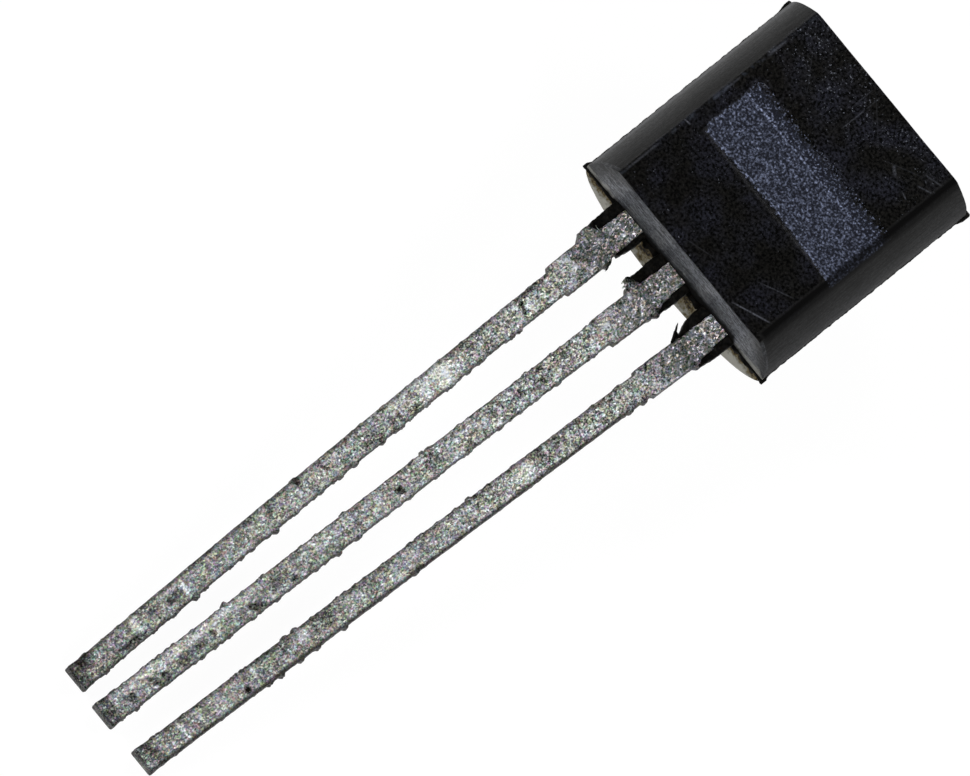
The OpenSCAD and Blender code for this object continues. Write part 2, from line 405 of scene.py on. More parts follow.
def etched_panel(add, ragged_x, x, y, fuzz, wander):
    """Where the panel is etched and its tone there: a rectangle with rounded corners and a
    bowed foot, frayed along its top, with the bare filler as a fuzz of grains."""
    middle = add("Math MULTIPLY", x, x)
    bow = add("Math MULTIPLY_ADD", middle, PANEL_BOW / 3, -PANEL_BOW)
    low_half = add("MapRange", y, 2.2, 2.6, 1, 0)
    bow = add("Math MULTIPLY_ADD", bow, low_half, y)
    bowed = add("Math MULTIPLY_ADD", wander, 0.05, bow)
    centre = ((PANEL_LEFT + PANEL_RIGHT) / 2, (PANEL_TOP + PANEL_FOOT) / 2 + 0.025, 0)
    half = ((PANEL_RIGHT - PANEL_LEFT) / 2 - PANEL_R, (PANEL_TOP - PANEL_FOOT) / 2 - PANEL_R, 0)
    flat_point = add("CombineXYZ", ragged_x, bowed)
    offset = add("VectorMath SUBTRACT", flat_point, centre)
    folded = add("VectorMath ABSOLUTE", offset)
    past = add("VectorMath SUBTRACT", folded, half)
    outside = add("VectorMath MAXIMUM", past, (0, 0, 0))
    distance = add("VectorMath LENGTH", outside).outputs["Value"]
    fray = add("MapRange", y, SEAM_Y, PANEL_TOP, -0.14, -0.55)
    clumped = add("Math SUBTRACT", fuzz, 0.5)
    frayed = add("Math MULTIPLY_ADD", clumped, fray, distance)
    inside = add("MapRange", frayed, PANEL_R - 0.04, PANEL_R + 0.015, 1, 0)

    # The fuzz is sparser above the seam of two passes, and denser on it, and denser along the foot as a
    # painted highlight on the edge of the panel's recess
    above = add("MapRange", y, SEAM_Y - 0.02, SEAM_Y + 0.02, 0, 1)
    thinning = add("MapRange", y, SEAM_Y, PANEL_TOP, 0.03, 0.09)
    sparse = add("Math MULTIPLY", above, thinning)
    thick = add("Math SUBTRACT", fuzz, sparse)
    patch = add("Math MULTIPLY", clumped, above)
    thick = add("Math MULTIPLY_ADD", patch, 0.4, thick)
    seam = stripe(add, y, SEAM_Y, 0.008, 0.03, 0.11)
    fading = add("MapRange", x, 0.0, 1.2, 1.1, 0.4)
    seam = add("Math MULTIPLY", seam, fading)
    # Painted highlight: denser fuzz along the panel's foot, for the lit edge of its recess
    rim = add("MapRange", distance, PANEL_R - 0.06, PANEL_R - 0.02, 0, 0.08)
    rim = add("Math MULTIPLY", rim, low_half)
    bright = add("Math ADD", seam, rim)
    thick = add("Math ADD", thick, bright)
    tuft = add("MapRange", thick, 0.36, 0.78, 0, 1)
    tuft = add("Math POWER", tuft, 2.5)
    return inside, add("MixRGB", tuft, "#171921", "#97a1c0")


def scratch_marks(add, point, grain):
    """The scratches: each turns and stretches the face so that it fills a square of side 2."""
    scratched = None
    for middle_x, middle_y, length, width, turn, strength in SCRATCHES:
        place = {
            0: point,
            1: (middle_x, middle_y, FLAT_Z),
            2: (0, 0, math.radians(turn)),
            3: (length / 2, width / 2, SCRATCH_DEPTH),
        }
        near = add("Mapping", place, vector_type="TEXTURE")
        folded = add("VectorMath ABSOLUTE", near)
        sides = add("SeparateXYZ", folded).outputs
        mark = add("MapRange", sides[0], 0.6, 1, strength, 0)
        edges = add("MapRange", sides[1], 0, 1, 1, 0)
        level = add("Math LESS_THAN", sides[2], 1)
        for share in (edges, level):
            mark = add("Math MULTIPLY", mark, share)
        scratched = mark if scratched is None else add("Math ADD", scratched, mark)
    worn = add("MapRange", grain, 0.35, 0.6, 0.3, 1)
    return add("Math MULTIPLY", scratched, worn, use_clamp=True)


def right_edge_shade(add, ragged_x, x, y, at_front, etched):
    """The right edge of the flat, darkened to a black line: painted shade on the rounded edge."""
    right_shade = add("MapRange", ragged_x, RIGHT_SHADE_LINE[0], RIGHT_SHADE_LINE[1], 0, 1)
    edge_out = add("MapRange", x, RIGHT_SHADE_LINE[2], RIGHT_SHADE_LINE[3], 1, 0)
    edge_up = add("MapRange", y, 0.02, 0.12, 0, 1)
    left_bare = add("MapRange", etched, 0, 1, 1, 0.85)
    for share in (edge_out, edge_up, at_front, left_bare):
        right_shade = add("Math MULTIPLY", right_shade, share)
    return right_shade


def worn_edge(add, x, at_front, wander):
    """The left edge of the flat, worn pale here and there."""
    worn = stripe(add, x, WORN_EDGE_X, 0.01, 0.06, 0.4)
    spotty = add("MapRange", wander, 0.5, 0.75, 0, 1)
    for share in (spotty, at_front):
        worn = add("Math MULTIPLY", worn, share)
    return worn


def back_shade_and_rim_light(add, y, z, aside, blots):
    """Behind the leads, painted shade near the parting line that turns into a painted rim light towards
    the back's rim: where it is, and its tone."""
    slope = -math.tan(math.radians(FOOT_BACK_DRAFT))
    rise = add("Math MULTIPLY_ADD", z, slope, 0.04)
    beneath = add("Math LESS_THAN", y, rise)
    behind = add("Math LESS_THAN", z, -0.05)
    back_zone = add("Math MULTIPLY", beneath, behind)
    start = add("MapRange", aside, 1.3, 1.65, -0.1, 0.2)
    steep = add("MapRange", aside, 1.3, 1.65, 0.3, 1.4)
    torn = add("Math MULTIPLY_ADD", z, steep, start)
    torn = add("Math MULTIPLY_ADD", blots, 2.8, torn)
    torn = add("Math SUBTRACT", 1.2, torn)
    tone = add("ValToRGB", torn)
    fill_ramp(tone, BACK_ZONE_TONES)
    return back_zone, tone


def parting_line_shade(add, x, z, blots, on_foot):
    """A dark and ragged band of painted shade along the parting line, climbing highest between the leads.
    """
    across_share = add("MapRange", x, -BACK_R, BACK_R, 0, 1)
    climb = add("ValToRGB", across_share)
    stops = climb.color_ramp.elements
    stops[1].color = (0, 0, 0, 1)
    for at, height in PARTING_SHADE_EDGE:
        stops.new(0.5 + at / (2 * BACK_R)).color = (height, height, height, 1)
    climb = add("Math MULTIPLY_ADD", blots, 0.28, climb)
    above_edge = add("Math SUBTRACT", z, climb)
    parting_shade = add("MapRange", above_edge, -0.26, -0.04, 1, 0)
    kept = add("Math GREATER_THAN", z, -0.06)
    for share in (on_foot, kept):
        parting_shade = add("Math MULTIPLY", parting_shade, share)
    return parting_shade


def epoxy_moulding_compound():
    """Black epoxy moulding compound, transfer moulded in a spark-eroded tool: near black
    and satin, with fine glints from its glass filler and drag marks along its walls. The
    laser that etched the blank panel left the filler bare there, so it is a blue-grey."""
    material, shader, add = new_material("epoxy_moulding_compound")
    point = package_axes(add)
    x, y, z = add("SeparateXYZ", point).outputs
    aside = add("Math ABSOLUTE", x)
    on_flat = add("MapRange", z, FLAT_Z - 0.1, FLAT_Z - 0.03, 0, 1)
    on_foot = add("Math LESS_THAN", y, 0.05)
    at_front = add("MapRange", z, 0.8, 1.1, 0, 1)
    grain, sparks, fuzz, grit, wander, clumps = (
        add("TexNoise", {"Vector": point, "Scale": 1 / size, "Detail": detail, "Roughness": roughness})
        for size, detail, roughness in COMPOUND_NOISES.values()
    )

    # Drag marks: streaks along the draw on the walls, and across on the underside
    foot_streaks = drawn_noise(add, point, FOOT_DRAG, 0.7)
    drag = add("MixRGB", on_foot, drawn_noise(add, point, WALL_DRAG, 0.7), foot_streaks)
    dragged = add("MapRange", drag, 0.35, 0.65, 0, 1)
    gritty = add("MapRange", grit, 0.35, 0.65, 0.2, 1.8)
    dragged = add("Math MULTIPLY", dragged, gritty, use_clamp=True)

    walls = wall_tone(add, x, z, dragged)
    foot = foot_tone(add, x, z, aside, dragged, foot_streaks, wander)
    walls = add("MixRGB", on_foot, walls, foot)
    skin = add("MixRGB", on_flat, walls, flat_tone(add, y, grit, clumps))

    # What covers the skin, one over the other
    glint = add("Math MULTIPLY", glints(add, x, y, sparks, clumps), on_flat)
    ragged_x = add("Math MULTIPLY_ADD", wander, 0.03, x)
    inside, bare = etched_panel(add, ragged_x, x, y, fuzz, wander)
    etched = add("Math MULTIPLY", inside, on_flat)
    right_shade = right_edge_shade(add, ragged_x, x, y, at_front, etched)
    blots = drawn_noise(add, point, BLOT_RUNS, 0.75)
    back_zone, back_tone = back_shade_and_rim_light(add, y, z, aside, blots)
    parting_shade = parting_line_shade(add, x, z, blots, on_foot)
    covers = [
        (glint, "#7c808b"),
        (etched, bare),
        (scratch_marks(add, point, grain), "#777a84"),
        # Painted shade: the black line along the right edge of the flat
        (right_shade, "#020202"),
        (worn_edge(add, x, at_front, wander), "#5c6370"),
        # Painted shade behind the leads, turning into a painted rim light towards the back
        (back_zone, back_tone),
        # Painted shade: the dark band along the parting line
        (parting_shade, "#080706"),
    ]
    for cover, tone in covers:
        skin = add("MixRGB", cover, skin, tone)

    satin = add("MapRange", dragged, 0, 1, 0.5, 0.4)
    scuffed = add("MapRange", x, 1.9, 2.45, 0, 0.16)
    satin = add("Math ADD", satin, scuffed, use_clamp=True)
    smoother = add("MapRange", grain, 0.3, 0.7, 0.34, 0.26)
    gloss = add("MixRGB", on_flat, satin, smoother)
    gloss = add("MixRGB", etched, gloss, (0.95,) * 3 + (1,))
    # Dull where shade and rim light are painted
    painted_light_zones = add("Math MAXIMUM", parting_shade, right_shade)
    painted_light_zones = add("Math MAXIMUM", painted_light_zones, back_zone)
    gloss = add("MixRGB", painted_light_zones, gloss, (1, 1, 1, 1))

    # Pores, drag lines and the frost of the panel, each over the last: strength and depth
    frost = add("Math MULTIPLY", fuzz, etched)
    relief = {}
    for height, strength, depth in ((grain, 0.5, 0.006), (drag, 0.4, 0.008), (frost, 0.6, 0.01)):
        relief = {"Strength": strength, "Distance": depth * MM, "Height": height, **relief}
        relief = {"Normal": add("Bump", relief)}
    feed(shader, {"Base Color": skin, "Roughness": gloss, **relief})
    feed(shader, {"IOR": RESIN_IOR, "Specular IOR Level": 0.13})
    return material


def resin_flash():
    """Thin flash of the same epoxy, squeezed out between the mould halves and torn: its
    filler stayed behind, so it is near black, a little brown and glossier, and lumpy."""
    material, shader, add = new_material("epoxy_flash")
    point = package_axes(add)
    lumps = add("TexNoise", {"Vector": point, "Scale": 1 / 0.06, "Detail": 4.0})
    tone = add("MapRange", lumps, 0.45, 0.75, 0, 1)
    colour = add("MixRGB", tone, "#020201", "#17140f")
    gloss = add("MapRange", lumps, 0.3, 0.7, 0.7, 0.45)
    relief = add("Bump", {"Strength": 0.8, "Distance": 0.015 * MM, "Height": lumps})
    feed(shader, {"Base Color": colour, "Roughness": gloss, "Normal": relief})
    feed(shader, {"IOR": RESIN_IOR, "Specular IOR Level": 0.09})
    return material


# ---- moulding ----

# Points along the outline's stretches, and rings along the moulding
SIDE_POINTS = 30
EDGE_POINTS = 5
FLAT_POINTS = 132
BACK_POINTS = 84
CAP_RINGS = 22
BEND_RINGS = 4
WALL_RINGS = 172
THIN_RING = 8
# The flash: how deep it is rooted, how far it stands out, how thick it is on either side of
# the parting line and by how much less at its rim
FLASH_ROOT = 0.03
FLASH_REACH = 0.014
FLASH_HALF = 0.035
FLASH_THINNING = 0.024
# How far it stands out more: between the leads, beside them, and at the top's two corners;
# and its ears at the corners, sideways and down
GATE_LIP = 0.028
CORNER_LIP = 0.085
TOP_LIP_LEFT = 0.03
EAR_OUT = 0.06
EAR_DOWN = 0.035


def foot_y(z):
    """Height of the underside at a distance from the parting line."""
    return z * math.tan(math.radians(FOOT_DRAFT if z > 0 else -FOOT_BACK_DRAFT))


def top_y(z):
    """Height of the top at a distance from the parting line."""
    return BODY_H - z * math.tan(math.radians(TOP_DRAFT if z > 0 else -BACK_DRAFT))


def d_outline():
    """Outline of the moulding across its height, anticlockwise from the parting line."""
    reach = BACK_R - FLAT_EDGE_R
    edge = Vector((math.sqrt(reach**2 - (FLAT_Z - FLAT_EDGE_R) ** 2), FLAT_Z - FLAT_EDGE_R))
    turn = math.degrees(math.atan2(edge.y, edge.x))
    far_edge = Vector((-edge.x, edge.y))
    middle = Vector((0, 0))
    return (
        arc(middle, BACK_R, 0, turn, SIDE_POINTS)
        + arc(edge, FLAT_EDGE_R, turn, 90, EDGE_POINTS)
        + line(Vector((edge.x, FLAT_Z)), Vector((-edge.x, FLAT_Z)), FLAT_POINTS)
        + arc(far_edge, FLAT_EDGE_R, 90, 180 - turn, EDGE_POINTS)
        + arc(middle, BACK_R, 180 - turn, 180, SIDE_POINTS)
        + arc(middle, BACK_R, 180, 360, BACK_POINTS)
    )


def panel_dip(x, y):
    """How far the etched panel lies below the flat face at a point of it."""
    centre = Vector(((PANEL_LEFT + PANEL_RIGHT) / 2, (PANEL_TOP + PANEL_FOOT) / 2))
    half = Vector(((PANEL_RIGHT - PANEL_LEFT) / 2 - PANEL_R, (PANEL_TOP - PANEL_FOOT) / 2 - PANEL_R))
    past = Vector((max(0, abs(x - centre.x) - half.x), max(0, abs(y - centre.y) - half.y)))
    return PANEL_DEPTH * smooth(PANEL_R + 0.04 - past.length, 0, 0.1)


def build_moulding(material):
    """The D-shaped block, skinned ring by ring from its underside to its top."""
    outline = d_outline()
    edge = END_EDGE_R / BODY_H
    ring_shrink = END_EDGE_R / BACK_R
    caps = [0.02 + (0.98 - ring_shrink) * i / CAP_RINGS for i in range(CAP_RINGS)]
    bends = [math.radians(90 * i / BEND_RINGS) for i in range(BEND_RINGS)]
    lower = [(k, 0) for k in caps]
    lower += [(1 - ring_shrink * (1 - math.sin(a)), edge * (1 - math.cos(a))) for a in bends]
    walls = [(1, edge + (1 - 2 * edge) * i / WALL_RINGS) for i in range(WALL_RINGS + 1)]
    upper = [(k, 1 - share) for k, share in reversed(lower)]
    stations = lower + walls + upper

    def place(turn, step):
        point = outline[turn]
        shrink, share = stations[step]
        x, z = point * shrink
        y = foot_y(z) * (1 - share) + top_y(z) * share
        swell = CAVITY_WAVE * rough(x, y, z, 0.7) + CAVITY_PITS * rough(x, y, z, 0.09)
        out = Vector((x, 0, z)).normalized() * swell * smooth(shrink, 0.9, 1)
        if shrink < 1:
            y += swell * (1 if share > 0.5 else -1)
        if z > FLAT_Z - 0.01 and shrink == 1:
            out.z -= panel_dip(x, y)
        return Vector((x, y, z)) + out

    mesh = bmesh.new()
    loft(mesh, len(outline), len(stations), place)
    return finish_piece("moulding", mesh, material, ["body"])


def build_flash(material):
    """The ragged lip of resin squeezed out along the parting line, with an ear at each corner."""
    path = rounded_box(BACK_R, BODY_H / 2, FLASH_ROOT, 0.025)
    count = len(path)
    middle = Vector((0, BODY_H / 2))

    def place(turn, step):
        here = path[step]
        ahead = path[(step + 1) % count] - path[step - 1]
        out = Vector((ahead.y, -ahead.x)).normalized()
        ragged = rough(here.x, here.y, 1.7, 0.13) + 0.5 * rough(here.x, here.y, 5.1, 0.05)
        reach = FLASH_REACH + FLASH_REACH * ragged
        aside = BACK_R - abs(here.x)
        if here.y < 0.1 - BODY_H / 2:
            lip = max(0, GATE_LIP + 0.045 * rough(here.x, 3.3, 0.4, 0.22))
            reach += lip * smooth(aside, 0.95, 0.8)
            reach += (CORNER_LIP + 0.03 * ragged) * smooth(aside, 0.95, 1.05)
        elif here.y > BODY_H / 2 - 0.1:
            reach *= 0.35
            reach += (CORNER_LIP if here.x > 0 else TOP_LIP_LEFT) * smooth(aside, 0.44, 0.08)
        ear = Vector((math.copysign(EAR_OUT, here.x), 0 if here.y > 0 else -EAR_DOWN))
        ear *= smooth(BODY_H / 2 - abs(here.y), 0.3 if here.y > 0 else 0.16, 0.02)
        ear *= smooth(aside, 0.1, 0)
        angle = 2 * math.pi * turn / THIN_RING
        share = 0.5 + 0.5 * math.cos(angle)
        reach = -FLASH_ROOT + (max(reach, 0.002) + FLASH_ROOT) * share
        spot = here + middle + out * reach + ear * share
        lift = math.sin(angle) * (FLASH_HALF - FLASH_THINNING * share)
        lift += 0.006 * rough(here.x, here.y, 9.3, 0.3)
        return Vector((spot.x, spot.y, lift))

    mesh = bmesh.new()
    loft(mesh, THIN_RING, count, place, closed=True)
    return finish_piece("mould_flash", mesh, material)


# ---- leads ----

# For each lead: its place in the row, its lean to the right in degrees, its bow to the left,
# the seed of its small beads and how much shorter it was cut; then for its left and its right
# side how wide the shoulder is and where it ends, what stands out of the edge at the dam bar
# as (distance down, reach), how knobbly the edge is, and the largest beads of tin as
# (distance down, half its height, reach).
# Marks on the face are (x, y, half their width, half their height, tone), where one is
# turned also its turn in degrees, and where it is a dent also its depth.
LEADS = {
    "emitter_lead": {
        "row": -1, "lean": 0.6, "bow": 0.047, "seed": 3, "short": 0.05,
        "shoulder": ((0.332, 1.8), (0.318, 1.78)),
        "stub": (
            [(0.64, 0), (0.69, 0.17), (0.75, 0.2), (0.86, 0.195), (0.95, 0.1), (1.06, 0)],
            [(0.76, 0), (0.81, 0.07), (0.9, 0.09), (0.96, 0)],
        ),
        "knobs": (0.005, 0.014),
        "beads": (
            [(8.02, 0.062, -0.027), (13.1, 0.037, 0.027)],
            [(4.56, 0.062, 0.036), (5.78, 0.037, 0.045), (6.25, 0.056, 0.045), (6.91, 0.056, 0.041),
             (7.27, 0.056, 0.045), (8.35, 0.05, 0.027), (8.83, 0.037, 0.041), (10.8, 0.043, 0.032)],
        ),
        "marks": [
            (-1.19, -0.34, 0.26, 0.02, 0.6), (-1.22, -5.0, 0.3, 0.9, 0.25),
            (-1.5, -0.85, 0.1, 0.12, 0.25), (-0.87, -0.9, 0.03, 0.08, -0.8),
            (-1.24, -1.46, 0.2, 0.07, 0.4), (-1.0, -1.65, 0.08, 0.08, 0.35),
            (-1.35, -1.33, 0.03, 0.04, -0.7), (-1.2, -2.5, 0.13, 0.1, 0.4),
            (-1.24, -2.66, 0.12, 0.045, -1.0, -18, 0.03), (-1.4, -2.3, 0.05, 0.2, -0.5, 0, 0.01),
            (-1.33, -3.95, 0.12, 0.14, -0.3), (-1.2, -4.62, 0.24, 0.2, 0.6),
            (-1.2, -5.1, 0.2, 0.12, 0.25), (-1.02, -5.43, 0.07, 0.13, -0.55, 0, 0.01),
            (-1.07, -5.75, 0.13, 0.03, -0.8, 5, 0.015), (-1.1, -5.92, 0.13, 0.08, -0.4),
            (-1.04, -6.32, 0.1, 0.1, -0.55, 20, 0.015), (-1.04, -6.55, 0.07, 0.1, -0.5, 0, 0.01),
            (-1.25, -7.46, 0.12, 0.035, -0.7, 30, 0.015), (-1.36, -8.02, 0.1, 0.05, -0.9, 0, 0.03),
            (-1.22, -8.75, 0.07, 0.12, -0.5, 30, 0.01), (-1.38, -9.25, 0.08, 0.18, -0.5),
            (-1.1, -9.18, 0.12, 0.05, 0.35), (-1.38, -10.15, 0.06, 0.14, -0.5),
            (-1.13, -10.88, 0.19, 0.035, 0.9, -8), (-1.1, -11.15, 0.07, 0.17, -0.7, 0, 0.02),
            (-1.28, -11.2, 0.1, 0.25, 0.25), (-1.15, -11.65, 0.06, 0.09, -0.6, 0, 0.01),
            (-1.15, -12.05, 0.2, 0.07, 0.75, 8), (-0.94, -12.3, 0.05, 0.28, -0.9, 0, 0.02),
            (-1.25, -13.2, 0.14, 0.16, -0.75, 0, 0.02), (-1.1, -13.42, 0.32, 0.14, -0.45),
        ],
    },
    "collector_lead": {
        "row": 0, "lean": -1.2, "bow": 0.0, "seed": 8, "short": 0,
        "shoulder": ((0.285, 1.8), (0.331, 1.74)),
        "stub": (
            [(0.67, 0), (0.7, 0.2), (0.75, 0.26), (0.81, 0.24), (0.86, 0.08), (0.9, 0.1), (0.97, 0)],
            [(0.56, 0), (0.66, 0.07), (0.77, 0.15), (0.84, 0.09), (0.93, 0.03), (1.0, 0)],
        ),
        "knobs": (0.009, 0.011),
        "beads": (
            [(3.4, 0.05, 0.027), (5.7, 0.037, 0.036), (5.83, 0.031, 0.05), (7.7, 0.05, 0.027),
             (9.6, 0.031, 0.036), (10.5, 0.05, 0.054), (12.2, 0.05, 0.027), (13.1, 0.031, 0.027)],
            [(3.0, 0.043, 0.032), (6.5, 0.05, 0.027), (7.7, 0.031, 0.036), (8.2, 0.05, 0.045),
             (10.2, 0.043, 0.032), (10.76, 0.043, 0.032), (12.95, 0.037, 0.054)],
        ),
        "marks": [
            (-0.21, -8.9, 0.05, 1.5, 0.15, -1.2), (-0.29, -11.9, 0.07, 1.5, 0.2, -1.2),
            (0.03, -0.34, 0.26, 0.02, 0.4), (-0.43, -0.74, 0.13, 0.08, -1.0),
            (0.38, -0.75, 0.09, 0.18, -0.9), (-0.07, -1.67, 0.09, 0.07, 0.5),
            (0.08, -0.9, 0.07, 0.06, 0.4), (0.0, -2.9, 0.16, 0.04, 0.3), (-0.04, -3.25, 0.18, 0.16, -0.4),
            (-0.04, -3.72, 0.09, 0.1, -0.65, 0, 0.015), (-0.04, -4.0, 0.09, 0.14, -0.45, 0, 0.01),
            (0.11, -4.4, 0.06, 0.06, 0.5), (-0.1, -5.78, 0.15, 0.16, -0.5), (0.06, -5.9, 0.09, 0.1, -0.3),
            (-0.04, -6.61, 0.06, 0.09, -1.2, -15, 0.05), (-0.08, -7.6, 0.08, 0.3, -0.3),
            (-0.01, -9.18, 0.05, 0.07, -0.8, 0, 0.02), (-0.15, -9.45, 0.12, 0.2, -0.45, 0, 0.01),
            (0.02, -9.72, 0.05, 0.025, 1.2), (-0.04, -10.08, 0.07, 0.15, -0.8, -25, 0.02),
            (-0.12, -10.92, 0.06, 0.035, 1.2), (-0.16, -11.0, 0.06, 0.05, -0.9, 0, 0.02),
            (-0.13, -11.35, 0.06, 0.1, -0.6, 0, 0.01), (-0.1, -11.75, 0.09, 0.12, -0.4),
            (-0.2, -12.12, 0.03, 0.03, 1.0), (-0.07, -12.2, 0.1, 0.07, -0.8, 0, 0.02),
            (-0.12, -12.42, 0.16, 0.05, -0.6, 30, 0.01), (-0.14, -12.95, 0.09, 0.08, -0.8, 0, 0.02),
            (-0.34, -11.6, 0.1, 1.6, 0.35, -1), (-0.25, -13.42, 0.32, 0.13, -0.65, 0, 0.01),
        ],
    },
    "base_lead": {
        "row": 1, "lean": -1.8, "bow": 0.0, "seed": 15, "short": 0.02,
        "shoulder": ((0.3, 1.79), (0.302, 1.77)),
        "stub": (
            [(0.72, 0), (0.78, 0.02), (0.86, 0.02), (0.92, 0)],
            [(0.68, 0), (0.74, 0.09), (0.82, 0.1), (0.88, 0.02), (0.95, 0)],
        ),
        "knobs": (0.01, 0.005),
        "beads": (
            [(5.7, 0.043, 0.027), (6.9, 0.037, 0.027), (7.1, 0.05, 0.027), (8.8, 0.043, 0.027),
             (9.78, 0.056, 0.05), (10.02, 0.05, 0.045), (11.15, 0.031, 0.027), (13.1, 0.037, 0.027)],
            [(1.98, 0.05, 0.045), (2.3, 0.05, 0.036), (7.32, 0.05, 0.027), (9.0, 0.037, 0.054),
             (9.62, 0.037, 0.041), (10.02, 0.043, 0.045), (10.48, 0.037, 0.045), (10.75, 0.043, 0.041)],
        ),
        "marks": [
            (1.25, -0.34, 0.26, 0.02, 0.8), (1.57, -0.78, 0.06, 0.1, -0.8),
            (1.43, -1.96, 0.09, 0.07, -0.8, 0, 0.02), (1.4, -2.2, 0.09, 0.1, -0.4),
            (0.98, -1.62, 0.07, 0.08, -0.5, 0, 0.01), (1.08, -4.16, 0.28, 0.09, -0.35),
            (1.08, -4.63, 0.14, 0.2, 0.55), (1.05, -5.0, 0.16, 0.2, 0.2),
            (0.9, -5.6, 0.05, 0.13, -0.85, -25, 0.02), (1.3, -7.2, 0.06, 0.14, -0.6),
            (0.93, -9.18, 0.14, 0.16, -0.5, 0, 0.01), (0.96, -9.48, 0.11, 0.04, -0.7, 0, 0.015),
            (0.9, -9.76, 0.14, 0.1, 0.45), (0.89, -10.22, 0.1, 0.04, -0.7, 0, 0.015),
            (0.84, -10.9, 0.24, 0.04, 0.5), (1.04, -11.19, 0.06, 0.06, -1.1, 0, 0.03),
            (0.9, -11.75, 0.3, 0.4, 0.12), (0.84, -12.2, 0.14, 0.04, 0.5),
            (0.8, -12.6, 0.26, 0.035, 0.6, 3), (0.84, -13.3, 0.3, 0.12, -0.45, 15),
        ],
    },
}
LEAD_STEP = 0.027
LEAD_TRIM = 0.009
LEAD_CORNER_R = 0.04
# How far a lead's own surface reaches into the moulding, and where the small beads of tin
# begin below the moulding and end above the tip
LEAD_ROOT = 0.1
BEADS_START = 1.95
BEADS_END = 0.25
# What stands out of an edge is pulled out of this outermost part of the width
EDGE_PART = 0.86
# What tells the leads apart in their attribute "across": this times the place in the row
ROW_CODE = 10


def lead_centre(lead, down):
    """Middle of a lead at a distance below the moulding."""
    lean = max(0, down - DAMBAR_END) * math.tan(math.radians(lead["lean"]))
    bow = lead["bow"] * math.sin(math.pi * min(1, max(0, down / LEAD_LEN)))
    return FRAME_OFFSET + lead["row"] * LEAD_SPACING + lean - bow


def between(points, at):
    """Height at a place of a broken line through points, and 0 past its ends."""
    for (start, low), (end, high) in zip(points, points[1:]):
        if start <= at <= end:
            return low + (high - low) * (at - start) / (end - start)
    return 0


def plain_half(lead, which, down):
    """Half the width of a lead towards one side, without its stubs and beads."""
    if down < DAMBAR_END:
        return NECK_W / 2
    shoulder, end = lead["shoulder"][which]
    step = smooth(down, end, end + 0.03)
    tip = TIP_SPREAD * smooth(down, LEAD_LEN - TIP_LEN - 0.15, LEAD_LEN)
    return shoulder + (LEAD_W / 2 - LEAD_TRIM - shoulder) * step + tip


def mark_at(x, y, mark_x, mark_y, half_x, half_y, strength, turn=0, deep=0):
    """Tone and depth that a mark on a lead's face gives to a point of it."""
    if abs(y - mark_y) > 2 * max(half_x, half_y):
        return 0, 0
    a = math.radians(turn)
    dx, dy = x - mark_x, y - mark_y
    along, aside = dx * math.cos(a) + dy * math.sin(a), dy * math.cos(a) - dx * math.sin(a)
    near = math.hypot(along / half_x, aside / half_y) + 0.35 * rough(x, y, mark_x, 0.06)
    fall = smooth(1.5 - near, 0, 0.9)
    return strength * fall, deep * fall


def lead_beads(lead, length):
    """Beads of tin along a lead's left and right edge: the large ones and many small."""
    dice = random.Random(lead["seed"])
    beads = [list(side) for side in lead["beads"]]
    for side, knobs in zip(beads, lead["knobs"]):
        down = BEADS_START
        while down < length - BEADS_END:
            side.append((down, dice.uniform(0.02, 0.055), 3.2 * knobs * dice.random() ** 2))
            down += dice.uniform(0.07, 0.3)
    return beads


def edge_reach(stub, beads, down):
    """How far the stubs and beads stand out of an edge at a distance below the moulding."""
    out = between(stub, down)
    for middle, half, height in beads:
        gap = abs(down - middle) / half
        if gap < 1:
            out += height * (1 - gap * gap)
    return out


def embedded_part(name):
    """The post or flag inside the moulding, as a mesh in the form that it has in the CAD."""
    inner = bmesh.new()
    inner.from_mesh(frame["nodes"][name].data)
    inner.transform(STOOD)
    bmesh.ops.remove_doubles(inner, verts=inner.verts, dist=0.0005)
    cut = {"geom": inner.verts[:] + inner.edges[:] + inner.faces[:], "clear_outer": True}
    cut = bmesh.ops.bisect_plane(inner, plane_co=(0, 0.03, 0), plane_no=(0, -1, 0), **cut)
    rim = [item for item in cut["geom_cut"] if isinstance(item, bmesh.types.BMEdge)]
    bmesh.ops.holes_fill(inner, edges=rim)
    shell = bpy.data.meshes.new("inner")
    inner.to_mesh(shell)
    inner.free()
    return shell


